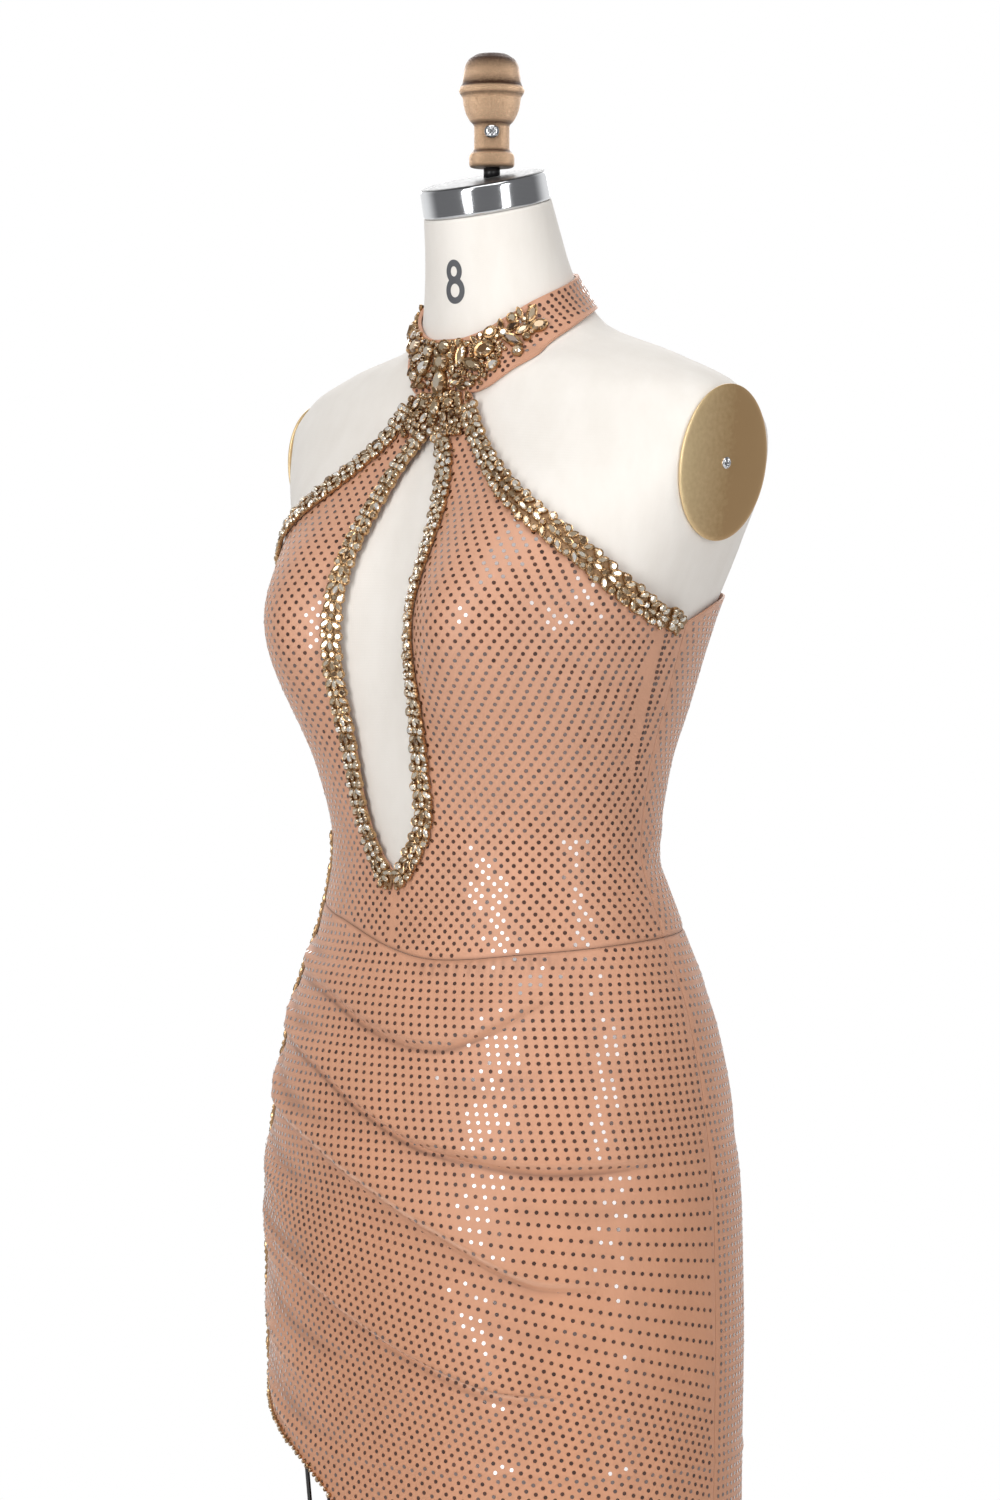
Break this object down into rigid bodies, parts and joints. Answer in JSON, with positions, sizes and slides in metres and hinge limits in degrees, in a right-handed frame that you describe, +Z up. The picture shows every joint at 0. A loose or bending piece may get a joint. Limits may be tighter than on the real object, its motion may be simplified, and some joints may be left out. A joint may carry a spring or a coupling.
{
  "type": "halter maxi dress on limbless dress form",
  "caption": "Floor-length halter gown in peach spangled knit with jewelled collar, keyhole front, swagged skirt and side slit, on a limbless dress form with pole and base.",
  "frame": {"origin": "centre of the stand base's underside, on the floor", "axes": "+Z up, the dress faces -Y, +X is the wearer's left"},
  "size_m": [0.3949, 0.3438, 1.6084],
  "materials": {
    "spangled_knit": "peach stretch knit set with small round reflective spangles",
    "stone_trim": "clear crystals in pale gold claw settings",
    "form_canvas": "smooth off-white linen pulled over a hard form",
    "neck_cap_chrome": "polished",
    "finial_bronze": "hammered antique gold",
    "arm_plate_brass": "brushed antique brass",
    "screw_steel": "plain steel",
    "black_iron": "satin black paint",
    "black_wire": "satin black paint"
  },
  "bodies": {
    "root": {"form_torso": "form_canvas", "neck_cap": "neck_cap_chrome", "finial_bolt": "black_iron", "finial": "finial_bronze", "finial_screw": "screw_steel", "arm_plate_left": "arm_plate_brass", "arm_screw_left": "screw_steel", "arm_plate_right": "arm_plate_brass", "arm_screw_right": "screw_steel", "pole": "black_iron", "base": "black_iron", "wire_cage": "black_wire", "bodice_front": "spangled_knit", "bodice_back": "spangled_knit", "collar": "spangled_knit", "nape_button_1": "spangled_knit", "nape_button_2": "spangled_knit", "skirt_front": "spangled_knit", "skirt_back": "spangled_knit", "keyhole_trim_left": "stone_trim", "keyhole_trim_right": "stone_trim", "armhole_trim_left": "stone_trim", "armhole_trim_right": "stone_trim", "collar_stones": "stone_trim", "halter_join_stones": "stone_trim", "side_trim": "stone_trim"}
  },
  "joints": []
}
